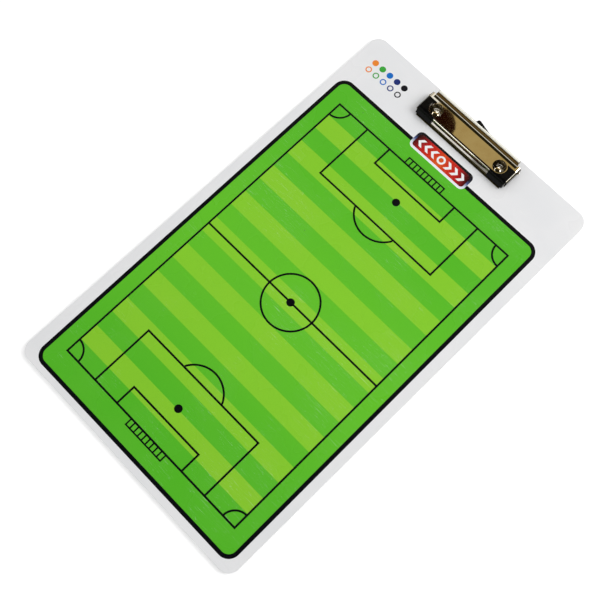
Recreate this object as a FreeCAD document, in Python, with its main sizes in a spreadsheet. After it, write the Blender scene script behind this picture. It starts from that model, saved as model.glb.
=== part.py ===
import FreeCAD, Part
import math
import os
import re

import Sketcher
from FreeCAD import Vector

# A football tactics board: a laminated panel lying on its back, with a flat sprung clip riveted to its head.
# Millimetres. The origin is the middle of the panel's back, +Y runs towards the clip and +Z out of the front.
# The clip's pieces are drawn in a frame of their own: the foot of the hinge axis on the panel's front, half
# way along the clip, with x along the hinge, y towards the board's head edge and z up from the panel's front.

SIZES = [
    # the panel
    ("board_width", 210, "panel, side to side"),
    ("board_length", 350, "panel, foot to head"),
    ("board_corner", 9, "radius of the panel's corners"),
    ("board_edge_round", 0.2, "rounding of the films' outer edges"),
    ("film_thickness", 0.3, "front and back film"),
    ("core_thickness", 2.4, "rigid panel"),
    ("steel_thickness", 0.3, "steel sheet let into the panel"),
    ("steel_side_margin", 8, "panel's side to the sheet"),
    ("steel_foot_margin", 6, "panel's foot to the sheet"),
    ("steel_head_margin", 42, "panel's head to the sheet"),
    ("steel_corner", 8, "radius of the sheet's corners"),
    ("steel_gap", 0.1, "play of the sheet in its recess"),
    # the hinge
    ("clip_shift", 2, "clip's middle, right of the panel's middle"),
    ("hinge_setback", 10.5, "panel's head edge to the hinge axis"),
    ("pin_diameter", 2, "hinge pin"),
    ("pin_head_diameter", 3.2, "upset ends of the pin"),
    ("pin_head_height", 0.6, "thickness of the pin's ends"),
    ("pin_head_round", 0.4, "rounding of the pin's ends"),
    ("pin_fit", 0.05, "radial clearance round the pin"),
    ("pin_end_play", 0.15, "play under the pin's ends"),
    # the lever plate
    ("plate_thickness", 0.8, "sheet of the lever and the base"),
    ("bend_radius", 1.2, "inside radius of the sheet's other bends"),
    ("bend_relief", 0.4, "nose's end to the start of the skirt's bend"),
    ("lever_length", 87, "lever over its end skirts"),
    ("lever_front", 13.4, "hinge axis to the front bend"),
    ("nose_angle", 70, "fall of the nose, in degrees"),
    ("foot_length", 1.8, "flat foot of the jaw"),
    ("toe_round", 0.6, "rounding of the foot's front edge"),
    ("jaw_gap", 0.1, "rest gap under the jaw"),
    ("lip_start", 1.1, "hinge axis to the thumb lip's bend"),
    ("lip_angle", 50, "rise of the thumb lip, in degrees"),
    ("lip_bend_radius", 3, "inside radius of the thumb lip's bend"),
    ("lip_length", 5.7, "thumb lip along its slope"),
    ("lip_inset", 3.5, "thumb lip's ends, in from the skirts"),
    ("lip_corner", 3.2, "radius of the thumb lip's corners"),
    ("hem_length", 2, "sheet folded back at the lip's edge"),
    ("hem_flat", 0.2, "flat left between the folded edge's roundings"),
    ("skirt_back", 2.4, "skirts behind the hinge axis"),
    ("skirt_lift", 1.2, "skirts' lower edge above the panel"),
    ("skirt_corner", 1.6, "radius of the skirts' lower corners"),
    ("access_gap", 0.95, "rivet's head to the hole in the lever over it"),
    # the base plate
    ("base_front", 11.7, "hinge axis to the base's front edge"),
    ("base_back", 4.6, "hinge axis to the base's back edge"),
    ("base_corner", 2, "radius of the base's corners"),
    ("tongue_width", 26, "tongue that carries the hanging tab"),
    ("tongue_back", 9, "hinge axis to the tongue's end"),
    ("ear_width", 4, "ears that hold the pin"),
    ("ear_flat", 0.16, "flat left at the top of a rounded ear"),
    ("ear_gap", 0.4, "ears to the lever's skirts"),
    # the rivets
    ("rivet_inset", 12.5, "lever's end to the rivet beside it"),
    ("rivet_forward", 7, "hinge axis to the rivets"),
    ("rivet_shank_diameter", 4, "rivet's shank"),
    ("rivet_fit", 0.05, "radial clearance round the shank"),
    ("rivet_head_diameter", 8.5, "domed head"),
    ("rivet_rim_height", 0.4, "upright rim of the head"),
    ("rivet_dome_height", 1.3, "dome above the rim"),
    ("rivet_tail_diameter", 6.8, "clenched tail"),
    ("rivet_tail_height", 0.45, "thickness of the tail"),
    ("washer_diameter", 9.6, "washer under the tail"),
    ("washer_thickness", 0.5, "washer under the tail"),
    ("tail_sink", 0.05, "panel's back to the rivet's tail"),
    ("recess_gap", 0.2, "radial clearance round the washer"),
    # the torsion springs
    ("wire_diameter", 1, "spring wire"),
    ("coil_play", 0.3, "radial play of the coil on the pin"),
    ("coil_gap", 0.3, "coil to the base under it and the lever over it"),
    ("coil_pitch", 1.5, "from one turn to the next"),
    ("coil_turns", 4, "whole turns, before the last half turn"),
    ("spring_gap", 1.5, "hanging tab's side to the spring beside it"),
    ("spring_foot", 4.2, "straight leg over the base"),
    ("spring_arm", 2.6, "straight leg under the thumb lip"),
    ("spring_bend", 1.2, "radius of the bend into that leg"),
    ("spring_seat", 0.3, "rest gap between that leg and the lip"),
    # the corner grips
    ("grip_thickness", 1.2, "wall of a grip"),
    ("grip_gap", 0.05, "play between a grip and the lever"),
    ("grip_front", 13.75, "leg along the nose, from the skirt's bend"),
    ("grip_end", 1.2, "lever's end to the grip's end"),
    ("grip_back", 2.5, "hinge axis to the grip's back edge"),
    ("grip_drop", 4.8, "from the front bend down the nose"),
    ("notch_gap", 0.7, "that hole to the grip's notch round it"),
    ("grip_round", 0.5, "rounding of the outer edges"),
    ("peg_diameter", 1.7, "pegs through the lever"),
    ("peg_fit", 0.05, "radial clearance round the pegs"),
    ("peg_head_diameter", 2.8, "upset ends of the pegs"),
    ("peg_head_height", 0.5, "thickness of the pegs' ends"),
    ("peg_inset", 2.2, "start of the skirt's bend to the pegs"),
    ("peg_back", 4.6, "hinge axis to the back pegs"),
    ("peg_front", 9.4, "hinge axis to the front pegs"),
    # the hanging tab
    ("tab_width", 9, "hanging tab"),
    ("tab_length", 14, "pivot to the tab's tip"),
    ("tab_thickness", 1, "hanging tab"),
    ("tab_lift", 0.05, "play under the tab"),
    ("tab_catch_round", 1.8, "corner that a fingernail catches"),
    ("tab_back_round", 5.5, "other corner of the tip"),
    ("tab_hole", 4.4, "hole for a nail"),
    ("tab_hole_inset", 4.5, "tip to the middle of the hole"),
    ("tab_pivot_side", 7.5, "clip's middle to the pivot"),
    ("tab_pivot_back", 4.6, "hinge axis to the pivot"),
    ("tab_rest_angle", 76, "turned in from straight out, in degrees"),
    ("pivot_diameter", 2.5, "rivet that the tab turns on"),
    ("pivot_fit", 0.05, "radial clearance round that rivet"),
    ("pivot_head_diameter", 4.8, "its head"),
    ("pivot_head_height", 0.7, "its head"),
    ("pivot_head_round", 0.45, "rounding of its head"),
    ("pivot_head_play", 0.05, "play under its head"),
]

doc = FreeCAD.newDocument("TacticsBoard")
sheet = doc.addObject("Spreadsheet::Sheet", "sizes")
for row, (alias, value, note) in enumerate(SIZES, 1):
    sheet.set(f"A{row}", str(value))
    sheet.setAlias(f"A{row}", alias)
    sheet.set(f"B{row}", note)
doc.recompute()

CELL_NAMES = re.compile(r"\b(" + "|".join(alias for alias, _, _ in SIZES) + r")\b")

# Places that several pieces share, written in the sheet's names.
FACE = "(core_thickness + 2 * film_thickness)"
HINGE_Y = "(board_length / 2 - hinge_setback)"
COIL_DIAMETER = "(pin_diameter + wire_diameter + 2 * coil_play)"
COIL_OUTSIDE = f"({COIL_DIAMETER} / 2 + wire_diameter / 2)"
HINGE_HEIGHT = f"(plate_thickness + coil_gap + {COIL_OUTSIDE})"
LEVER_HEIGHT = f"({HINGE_HEIGHT} + {COIL_OUTSIDE} + coil_gap)"
LEVER_HALF = "(lever_length / 2)"
LEVER_TOP = f"({LEVER_HEIGHT} + plate_thickness)"
BEND_OUTSIDE = "(bend_radius + plate_thickness)"
LIP_BEND_OUTSIDE = "(lip_bend_radius + plate_thickness)"
FLAT_HALF = f"({LEVER_HALF} - {BEND_OUTSIDE})"
NOSE_HALF = f"({FLAT_HALF} - bend_relief)"
LIP_HALF = f"({LEVER_HALF} - lip_inset)"
EAR_OUTSIDE = f"({LEVER_HALF} - plate_thickness - ear_gap)"
EAR_TOP = f"({HINGE_HEIGHT} + ear_width / 2)"
RIVET_SIDE = f"({LEVER_HALF} - rivet_inset)"
PIN_HOLE = "(pin_diameter + 2 * pin_fit)"
RIVET_HOLE = "(rivet_shank_diameter + 2 * rivet_fit)"
PIVOT_HOLE = "(pivot_diameter + 2 * pivot_fit)"
RECESS = "(washer_diameter + 2 * recess_gap)"
RECESS_DEPTH = "(washer_thickness + rivet_tail_height + tail_sink)"
ACCESS_HOLE = "(rivet_head_diameter + 2 * access_gap)"
GRIP_NOTCH = f"({ACCESS_HOLE} + 2 * notch_gap)"
GRIP_INSIDE = f"({FLAT_HALF} - grip_front)"
GRIP_OUTSIDE = f"({LEVER_HALF} - grip_end)"
PEG_SIDE = f"({FLAT_HALF} - peg_inset)"
PEG_PLACES = [(PEG_SIDE, "-peg_back"), (PEG_SIDE, "-peg_front")]
SPRING_INSET = "(tab_pivot_side + tab_width / 2 + spring_gap + wire_diameter / 2)"
SIDES = {"left": -1, "right": 1}


def number(text):
    """The value of an expression in the sheet's names."""
    return float(sheet.evalExpression(text))


def bind(thing, what, text):
    """Binds a property to an expression in the sheet's names."""
    thing.setExpression(what, CELL_NAMES.sub(r"sizes.\1", text))


def new_body(label, x="0", y="0", z="0"):
    body = doc.addObject("PartDesign::Body", label)
    body.Label = label
    for axis, text in zip("xyz", (x, y, z)):
        bind(body, f"Placement.Base.{axis}", text)
    return body


def clip_body(label, x="0", y="0", z="0"):
    """A body whose origin is given in the clip's frame."""
    return new_body(label, f"clip_shift + {x}", f"{HINGE_Y} + {y}", f"{FACE} + {z}")


def origin_feature(body, role):
    return next(feature for feature in body.Origin.OriginFeatures if feature.Role == role)


def new_sketch(body, plane, lift="0"):
    """A sketch on one of the body's own origin planes, moved along the plane's normal."""
    sketch = body.newObject("Sketcher::SketchObject", f"{body.Label}_sketch")
    sketch.AttachmentSupport = [(origin_feature(body, plane), "")]
    sketch.MapMode = "FlatFace"
    bind(sketch, "AttachmentOffset.Base.z", lift)
    return sketch


def place_point(sketch, geometry, point, x, y):
    """Ties a point of the sketch to two expressions, measured from the sketch's origin."""
    for kind, text in (("DistanceX", x), ("DistanceY", y)):
        index = sketch.addConstraint(Sketcher.Constraint(kind, -1, 1, geometry, point, number(text)))
        bind(sketch, f"Constraints[{index}]", text)


def outline(sketch, corners):
    """A closed outline. A corner is (x, y), or (x, y, centre_x, centre_y) before an anticlockwise arc."""
    first = sketch.GeometryCount
    spots = [Vector(number(corner[0]), number(corner[1]), 0) for corner in corners]
    following = spots[1:] + spots[:1]
    for corner, begin, end in zip(corners, spots, following):
        if len(corner) == 2:
            sketch.addGeometry(Part.LineSegment(begin, end))
            continue
        centre = Vector(number(corner[2]), number(corner[3]), 0)
        start, stop = (math.atan2(spot.y - centre.y, spot.x - centre.x) for spot in (begin, end))
        circle = Part.Circle(centre, Vector(0, 0, 1), centre.distanceToPoint(begin))
        sketch.addGeometry(Part.ArcOfCircle(circle, start, stop))
    for index, corner in enumerate(corners):
        after = first + (index + 1) % len(corners)
        sketch.addConstraint(Sketcher.Constraint("Coincident", first + index, 2, after, 1))
        place_point(sketch, first + index, 1, corner[0], corner[1])


def rectangle(sketch, left, right, low, high):
    outline(sketch, [(left, low), (right, low), (right, high), (left, high)])


def circle(sketch, x, y, diameter):
    centre = Vector(number(x), number(y), 0)
    index = sketch.addGeometry(Part.Circle(centre, Vector(0, 0, 1), number(diameter) / 2))
    place_point(sketch, index, 3, x, y)
    size = sketch.addConstraint(Sketcher.Constraint("Diameter", index, number(diameter)))
    bind(sketch, f"Constraints[{size}]", diameter)


def pad(body, sketch, length, symmetric=False):
    feature = body.newObject("PartDesign::Pad", f"{body.Label}_pad")
    feature.Profile = sketch
    feature.SideType = "Symmetric" if symmetric else "One side"
    bind(feature, "Length", length)
    doc.recompute()
    return feature


def pocket(body, sketch, depth=None):
    """Cuts right through, both ways, or to a depth along the sketch's normal."""
    before = body.Shape.Volume
    feature = body.newObject("PartDesign::Pocket", f"{body.Label}_pocket")
    feature.Profile = sketch
    if depth is None:
        feature.Type = "ThroughAll"
        feature.SideType = "Symmetric"
    else:
        feature.Reversed = True
        bind(feature, "Length", depth)
    doc.recompute()
    if not body.Shape.Volume < before:
        raise RuntimeError(f"a pocket of {body.Label} cuts nothing")
    return feature


def revolve(body, sketch, axis):
    feature = body.newObject("PartDesign::Revolution", f"{body.Label}_revolution")
    feature.Profile = sketch
    feature.ReferenceAxis = (origin_feature(body, axis), [""])
    doc.recompute()
    return feature


def fillet(body, edges, radius):
    """Rounds the edges of the body's last feature that the function edges picks."""
    base = body.Tip
    names = [f"Edge{index}" for index, edge in enumerate(base.Shape.Edges, 1) if edges(edge)]
    if not names:
        raise RuntimeError(f"{body.Label} has no such edge to round")
    feature = body.newObject("PartDesign::Fillet", f"{body.Label}_fillet")
    feature.Base = (base, names)
    bind(feature, "Radius", radius)
    doc.recompute()
    return feature


def along(axis, *places):
    """Picks straight edges along an axis that pass through one of the places, given in the other two axes."""
    others = [name for name in "xyz" if name != axis]
    spots = [tuple(number(text) for text in place) for place in places]

    def picks(edge):
        ends = [vertex.Point for vertex in edge.Vertexes]
        if len(ends) != 2 or not isinstance(edge.Curve, Part.Line):
            return False
        return any(
            all(abs(getattr(end, name) - spot[i]) < 1e-4 for end in ends for i, name in enumerate(others))
            for spot in spots
        )

    return picks


def at_height(z):
    """Picks edges that lie at one height."""
    level = number(z)
    return lambda edge: all(abs(corner - level) < 1e-4 for corner in (edge.BoundBox.ZMin, edge.BoundBox.ZMax))


def both_sides(x, y):
    return [(x, y), (f"-{x}", y)]


def rounded_slab(body, half_width, low, high, radius, thickness, lift="0"):
    """A slab with round corners, drawn about the body's middle line, from low to high along Y."""
    sketch = new_sketch(body, "XY_Plane", lift)
    rectangle(sketch, f"-{half_width}", half_width, low, high)
    pad(body, sketch, thickness)
    fillet(body, along("z", *both_sides(half_width, low), *both_sides(half_width, high)), radius)


def rivet_circles(sketch, diameter):
    """The two rivets' places on the panel, in a sketch of a piece of the panel."""
    for side in SIDES.values():
        circle(sketch, f"clip_shift + {side} * {RIVET_SIDE}", f"{HINGE_Y} - rivet_forward", diameter)


def panel_layer(label, height, thickness):
    body = new_body(label, z=height)
    foot, head = "-board_length / 2", "board_length / 2"
    rounded_slab(body, "(board_width / 2)", foot, head, "board_corner", thickness)
    return body


def cut_rivet_holes(body, diameter, lift="0", depth=None):
    sketch = new_sketch(body, "XY_Plane", lift)
    rivet_circles(sketch, diameter)
    pocket(body, sketch, depth)


def back_film():
    body = panel_layer("back_film", "0", "film_thickness")
    fillet(body, at_height("0"), "board_edge_round")
    cut_rivet_holes(body, RECESS)
    return body


def steel_outline(gap):
    """Half width, foot and head of the steel sheet, or of its recess with a gap round it."""
    return (
        f"(board_width / 2 - steel_side_margin + {gap})",
        f"(steel_foot_margin - board_length / 2 - {gap})",
        f"(board_length / 2 - steel_head_margin + {gap})",
    )


def core_panel():
    body = panel_layer("core_panel", "film_thickness", "core_thickness")
    half_width, low, high = steel_outline("steel_gap")
    sketch = new_sketch(body, "XY_Plane", "core_thickness - steel_thickness")
    rectangle(sketch, f"-{half_width}", half_width, low, high)
    pocket(body, sketch, "steel_thickness")
    recess_corners = along("z", *both_sides(half_width, low), *both_sides(half_width, high))
    fillet(body, recess_corners, "steel_corner + steel_gap")
    cut_rivet_holes(body, RIVET_HOLE)
    cut_rivet_holes(body, RECESS, depth=f"{RECESS_DEPTH} - film_thickness")
    return body


def steel_sheet():
    body = new_body("steel_sheet", z="film_thickness + core_thickness - steel_thickness")
    half_width, low, high = steel_outline("0")
    rounded_slab(body, half_width, low, high, "steel_corner", "steel_thickness")
    return body


def front_film():
    body = panel_layer("front_film", "film_thickness + core_thickness", "film_thickness")
    fillet(body, at_height("film_thickness"), "board_edge_round")
    cut_rivet_holes(body, RIVET_HOLE)
    return body


def clip_base():
    """A plate with a tongue at the back and an ear turned up at each end."""
    body = clip_body("clip_base")
    tongue = "(tongue_width / 2)"
    sketch = new_sketch(body, "XY_Plane")
    outline(
        sketch,
        [
            (f"-{EAR_OUTSIDE}", "-base_front"),
            (EAR_OUTSIDE, "-base_front"),
            (EAR_OUTSIDE, "base_back"),
            (tongue, "base_back"),
            (tongue, "tongue_back"),
            (f"-{tongue}", "tongue_back"),
            (f"-{tongue}", "base_back"),
            (f"-{EAR_OUTSIDE}", "base_back"),
        ],
    )
    pad(body, sketch, "plate_thickness")
    plan_corners = [*both_sides(EAR_OUTSIDE, "-base_front"), *both_sides(tongue, "tongue_back")]
    fillet(body, along("z", *plan_corners), "base_corner")

    sketch = new_sketch(body, "XZ_Plane")
    for side in SIDES.values():
        inside, outside = sorted(
            (f"{side} * ({EAR_OUTSIDE} - plate_thickness)", f"{side} * {EAR_OUTSIDE}"), key=number
        )
        rectangle(sketch, inside, outside, "0", EAR_TOP)
    pad(body, sketch, "ear_width", symmetric=True)
    ear_corners = along("x", *both_sides("(ear_width / 2)", EAR_TOP))
    fillet(body, ear_corners, "(ear_width - ear_flat) / 2")

    sketch = new_sketch(body, "YZ_Plane")
    circle(sketch, "0", HINGE_HEIGHT, PIN_HOLE)
    pocket(body, sketch)
    sketch = new_sketch(body, "XY_Plane")
    for x, y in both_sides(RIVET_SIDE, "-rivet_forward"):
        circle(sketch, x, y, RIVET_HOLE)
    circle(sketch, "tab_pivot_side", "tab_pivot_back", PIVOT_HOLE)
    pocket(body, sketch)
    return body


# The lever's section, seen along the hinge: the underside's corners, with y and z in the clip's frame.
UNDER_LIP = ("lip_start", LEVER_HEIGHT)
UNDER_LIP_EDGE = (
    f"{UNDER_LIP[0]} + lip_length * cos(lip_angle)",
    f"{UNDER_LIP[1]} + lip_length * sin(lip_angle)",
)
UNDER_NOSE = ("-lever_front", LEVER_HEIGHT)
UNDER_HEEL = (f"{UNDER_NOSE[0]} - ({LEVER_HEIGHT} - jaw_gap) / tan(nose_angle)", "jaw_gap")
UNDER_TOE = (f"{UNDER_HEEL[0]} - foot_length", "jaw_gap")


def mitred(corner, angle, rise):
    """The corner of a line that runs a distance above the underside, where the section bends by an angle."""
    return (f"{corner[0]} - ({rise}) * tan({angle} / 2)", f"{corner[1]} + ({rise})")


def square_off(corner, angle, rise):
    """The point a distance above the underside, square to a stretch that slopes by an angle."""
    return (f"{corner[0]} - ({rise}) * sin({angle})", f"{corner[1]} + ({rise}) * cos({angle})")


def back_along_lip(corner):
    return (f"{corner[0]} - hem_length * cos(lip_angle)", f"{corner[1]} - hem_length * sin(lip_angle)")


def lever_section(body):
    over_lip = mitred(UNDER_LIP, "lip_angle", "plate_thickness")
    over_nose = mitred(UNDER_NOSE, "nose_angle", "plate_thickness")
    over_heel = mitred(UNDER_HEEL, "nose_angle", "plate_thickness")
    over_toe = mitred(UNDER_TOE, "0", "plate_thickness")
    over_lip_edge = square_off(UNDER_LIP_EDGE, "lip_angle", "plate_thickness")
    hem_edge = square_off(UNDER_LIP_EDGE, "lip_angle", "-plate_thickness")
    sketch = new_sketch(body, "YZ_Plane")
    outline(
        sketch,
        [
            UNDER_TOE,
            UNDER_HEEL,
            UNDER_NOSE,
            UNDER_LIP,
            back_along_lip(UNDER_LIP_EDGE),
            back_along_lip(hem_edge),
            hem_edge,
            over_lip_edge,
            over_lip,
            over_nose,
            over_heel,
            over_toe,
        ],
    )
    pad(body, sketch, f"2 * {NOSE_HALF}", symmetric=True)
    fillet(body, along("x", UNDER_NOSE, over_heel), "bend_radius")
    fillet(body, along("x", over_nose, UNDER_HEEL), BEND_OUTSIDE)
    fillet(body, along("x", over_lip), "lip_bend_radius")
    fillet(body, along("x", UNDER_LIP), LIP_BEND_OUTSIDE)
    fillet(body, along("x", hem_edge, over_lip_edge), "plate_thickness - hem_flat / 2")
    fillet(body, along("x", over_toe), "toe_round")


def shape_lip(body):
    """Shortens the thumb lip and rounds its upper corners."""
    sketch = new_sketch(body, "XY_Plane")
    lip_root = f"lip_start - {LIP_BEND_OUTSIDE} * tan(lip_angle / 2)"
    lip_tip = "lip_start + lip_length"
    rectangle(sketch, LIP_HALF, LEVER_HALF, lip_root, lip_tip)
    rectangle(sketch, f"-{LEVER_HALF}", f"-{LIP_HALF}", lip_root, lip_tip)
    pocket(body, sketch)
    top = f"({square_off(UNDER_LIP_EDGE, 'lip_angle', 'plate_thickness')[1]})"
    over = f"({top} + plate_thickness)"
    start = f"({LIP_HALF} - lip_corner)"
    centre = (start, f"{top} - lip_corner")
    mirrored = (f"-{start}", centre[1])
    sketch = new_sketch(body, "XZ_Plane")
    right = [
        (start, top),
        (start, over),
        (LEVER_HALF, over),
        (LEVER_HALF, centre[1]),
        (LIP_HALF, centre[1], *centre),
    ]
    left = [
        (f"-{start}", top, *mirrored),
        (f"-{LIP_HALF}", centre[1]),
        (f"-{LEVER_HALF}", centre[1]),
        (f"-{LEVER_HALF}", over),
        (f"-{start}", over),
    ]
    outline(sketch, right)
    outline(sketch, left)
    pocket(body, sketch)


def add_skirts(body):
    """Turns the lever's ends down as skirts that the pin passes through, with toes that reach to the nose."""
    inside = f"({LEVER_HALF} - plate_thickness)"
    on_flat = f"({NOSE_HALF} - plate_thickness)"
    sketch = new_sketch(body, "XZ_Plane", "-skirt_back")
    for side in SIDES.values():
        outline(
            sketch,
            [
                (f"{side} * {on_flat}", LEVER_TOP),
                (f"{side} * {on_flat}", LEVER_HEIGHT),
                (f"{side} * {inside}", LEVER_HEIGHT),
                (f"{side} * {inside}", "skirt_lift"),
                (f"{side} * {LEVER_HALF}", "skirt_lift"),
                (f"{side} * {LEVER_HALF}", LEVER_TOP),
            ],
        )
    pad(body, sketch, "skirt_back + lever_front - bend_radius * tan(nose_angle / 2)")
    fillet(body, along("y", *both_sides(inside, LEVER_HEIGHT)), "bend_radius")
    fillet(body, along("y", *both_sides(LEVER_HALF, LEVER_TOP)), BEND_OUTSIDE)

    toe = (f"{UNDER_HEEL[0]} + (skirt_lift - jaw_gap) / tan(nose_angle)", "skirt_lift")
    toe_top = (f"{UNDER_NOSE[0]} - {BEND_OUTSIDE} / tan(nose_angle)", f"{LEVER_HEIGHT} - {BEND_OUTSIDE}")
    for lift in (inside, f"-{LEVER_HALF}"):
        sketch = new_sketch(body, "YZ_Plane", lift)
        outline(sketch, [toe, ("0", "skirt_lift"), ("0", HINGE_HEIGHT), toe_top])
        pad(body, sketch, "plate_thickness")
    fillet(body, along("x", ("skirt_back", "skirt_lift"), toe), "skirt_corner")


def clip_lever():
    """One pressed plate: jaw, flat, thumb lip and end skirts."""
    body = clip_body("clip_lever")
    lever_section(body)
    shape_lip(body)
    add_skirts(body)
    sketch = new_sketch(body, "YZ_Plane")
    circle(sketch, "0", HINGE_HEIGHT, PIN_HOLE)
    pocket(body, sketch)
    sketch = new_sketch(body, "XY_Plane")
    for x, y in both_sides(RIVET_SIDE, "-rivet_forward"):
        circle(sketch, x, y, ACCESS_HOLE)
    for x, y in PEG_PLACES:
        for place in both_sides(x, y):
            circle(sketch, *place, "peg_diameter + 2 * peg_fit")
    pocket(body, sketch)
    return body


def hinge_pin():
    body = clip_body("hinge_pin", z=HINGE_HEIGHT)
    shank = f"({LEVER_HALF} + pin_end_play)"
    tip = f"({shank} + pin_head_height)"
    sketch = new_sketch(body, "XY_Plane")
    outline(
        sketch,
        [
            (f"-{tip}", "0"),
            (tip, "0"),
            (tip, "pin_head_diameter / 2"),
            (shank, "pin_head_diameter / 2"),
            (shank, "pin_diameter / 2"),
            (f"-{shank}", "pin_diameter / 2"),
            (f"-{shank}", "pin_head_diameter / 2"),
            (f"-{tip}", "pin_head_diameter / 2"),
        ],
    )
    revolve(body, sketch, "X_Axis")
    reach = number(tip)
    fillet(body, lambda edge: abs(abs(edge.BoundBox.Center.x) - reach) < 1e-4, "pin_head_round")
    return body


def grip(label, side):
    """A moulded cap, bent over the lever's nose near its end, with a notch round the rivet and two pegs."""
    body = clip_body(label)
    under = "(plate_thickness + grip_gap)"
    over = f"({under} + grip_thickness)"
    nose_end = (
        f"{UNDER_NOSE[0]} - grip_drop * cos(nose_angle)",
        f"{UNDER_NOSE[1]} - grip_drop * sin(nose_angle)",
    )
    under_end = square_off(nose_end, "nose_angle", under)
    over_end = square_off(nose_end, "nose_angle", over)
    bend_under = mitred(UNDER_NOSE, "nose_angle", under)
    bend_over = mitred(UNDER_NOSE, "nose_angle", over)
    back_under = ("-grip_back", f"{LEVER_HEIGHT} + {under}")
    back_over = ("-grip_back", f"{LEVER_HEIGHT} + {over}")
    sketch = new_sketch(body, "YZ_Plane", GRIP_INSIDE if side > 0 else f"-{GRIP_OUTSIDE}")
    outline(sketch, [back_under, back_over, bend_over, over_end, under_end, bend_under])
    pad(body, sketch, f"{GRIP_OUTSIDE} - {GRIP_INSIDE}")
    fillet(body, along("x", bend_under), f"{BEND_OUTSIDE} + grip_gap")
    fillet(body, along("x", bend_over), f"{BEND_OUTSIDE} + grip_gap + grip_thickness")

    sketch = new_sketch(body, "XY_Plane")
    circle(sketch, f"{side} * {RIVET_SIDE}", "-rivet_forward", GRIP_NOTCH)
    pocket(body, sketch)
    sketch = new_sketch(body, "XY_Plane")
    left, right = sorted((f"{side} * ({GRIP_INSIDE} - grip_gap)", f"{side} * {RIVET_SIDE}"), key=number)
    rectangle(sketch, left, right, f"-rivet_forward - {GRIP_NOTCH} / 2", "0")
    pocket(body, sketch)
    fillet(body, at_height(f"{LEVER_HEIGHT} + {over}"), "grip_round")

    peg_low = f"{LEVER_HEIGHT} - peg_head_height"
    for diameter, low, height in (
        ("peg_diameter", peg_low, f"{under} + peg_head_height + grip_thickness / 2"),
        ("peg_head_diameter", f"{peg_low} - grip_gap", "peg_head_height"),
    ):
        sketch = new_sketch(body, "XY_Plane", low)
        for x, y in PEG_PLACES:
            circle(sketch, f"{side} * {x}", y, diameter)
        pad(body, sketch, height)
    return body


def rivet(label, side):
    """A domed head on the base, a shank through the panel and a tail clenched on the washer."""
    body = new_body(label, f"clip_shift + {side} * {RIVET_SIDE}", f"{HINGE_Y} - rivet_forward")
    washer_under = "(tail_sink + rivet_tail_height)"
    seat = f"({FACE} + plate_thickness)"
    rim = f"({seat} + rivet_rim_height)"
    top = f"({rim} + rivet_dome_height)"
    dome_radius = "(((rivet_head_diameter / 2) ^ 2 + rivet_dome_height ^ 2) / (2 * rivet_dome_height))"
    sketch = new_sketch(body, "XZ_Plane")
    outline(
        sketch,
        [
            ("0", "tail_sink"),
            ("rivet_tail_diameter / 2", "tail_sink"),
            ("rivet_tail_diameter / 2", washer_under),
            ("rivet_shank_diameter / 2", washer_under),
            ("rivet_shank_diameter / 2", seat),
            ("rivet_head_diameter / 2", seat),
            ("rivet_head_diameter / 2", rim, "0", f"{top} - {dome_radius}"),
            ("0", top),
        ],
    )
    revolve(body, sketch, "Z_Axis")
    return body


def washer(label, side):
    body = new_body(
        label,
        f"clip_shift + {side} * {RIVET_SIDE}",
        f"{HINGE_Y} - rivet_forward",
        f"{RECESS_DEPTH} - washer_thickness",
    )
    sketch = new_sketch(body, "XY_Plane")
    circle(sketch, "0", "0", "washer_diameter")
    circle(sketch, "0", "0", RIVET_HOLE)
    pad(body, sketch, "washer_thickness")
    return body


def hang_tab():
    """A flat tab, drawn straight out from its pivot and then turned in under the lever."""
    body = clip_body("hang_tab", "tab_pivot_side", "tab_pivot_back", "plate_thickness + tab_lift")
    body.Placement.Rotation = FreeCAD.Rotation(Vector(0, 0, 1), number("tab_rest_angle"))
    bind(body, "Placement.Rotation.Angle", "tab_rest_angle * 1 deg")
    half = "(tab_width / 2)"
    catch = (f"{half} - tab_catch_round", "tab_length - tab_catch_round")
    back = (f"tab_back_round - {half}", "tab_length - tab_back_round")
    sketch = new_sketch(body, "XY_Plane")
    outline(
        sketch,
        [
            (half, "0"),
            (half, catch[1], *catch),
            (catch[0], "tab_length"),
            (back[0], "tab_length", *back),
            (f"-{half}", back[1]),
            (f"-{half}", "0", "0", "0"),
        ],
    )
    circle(sketch, "0", "0", PIVOT_HOLE)
    circle(sketch, "0", "tab_length - tab_hole_inset", "tab_hole")
    pad(body, sketch, "tab_thickness")
    return body


def hang_rivet():
    body = clip_body("hang_rivet", "tab_pivot_side", "tab_pivot_back")
    seat = "(plate_thickness + tab_lift + tab_thickness + pivot_head_play)"
    top = f"({seat} + pivot_head_height)"
    sketch = new_sketch(body, "XZ_Plane")
    outline(
        sketch,
        [
            ("0", "0"),
            ("pivot_diameter / 2", "0"),
            ("pivot_diameter / 2", seat),
            ("pivot_head_diameter / 2", seat),
            ("pivot_head_diameter / 2", top),
            ("0", top),
        ],
    )
    revolve(body, sketch, "Z_Axis")
    fillet(body, at_height(top), "pivot_head_round")
    return body


def arc_by_tangents(begin, corner, end):
    """The arc that leaves begin towards the corner and reaches end from it, both as far from the corner."""
    middle = (begin + end) / 2
    half_turn = math.pi / 2 - (begin - corner).getAngle(end - corner) / 2
    return Part.Arc(begin, middle + (corner - middle) * (math.tan(half_turn / 2) / math.tan(half_turn)), end)


def biarc(begin, begin_way, end, end_way):
    """Two arcs that join two points with the given directions."""
    reach = end - begin
    ways = begin_way + end_way
    bend = 2 * (1 - begin_way.dot(end_way))
    across = reach.dot(ways)
    arm = (math.sqrt(across * across + bend * reach.dot(reach)) - across) / bend
    first, second = begin + begin_way * arm, end - end_way * arm
    joint = (first + second) / 2
    return [arc_by_tangents(begin, first, joint), arc_by_tangents(joint, second, end)]


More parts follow.
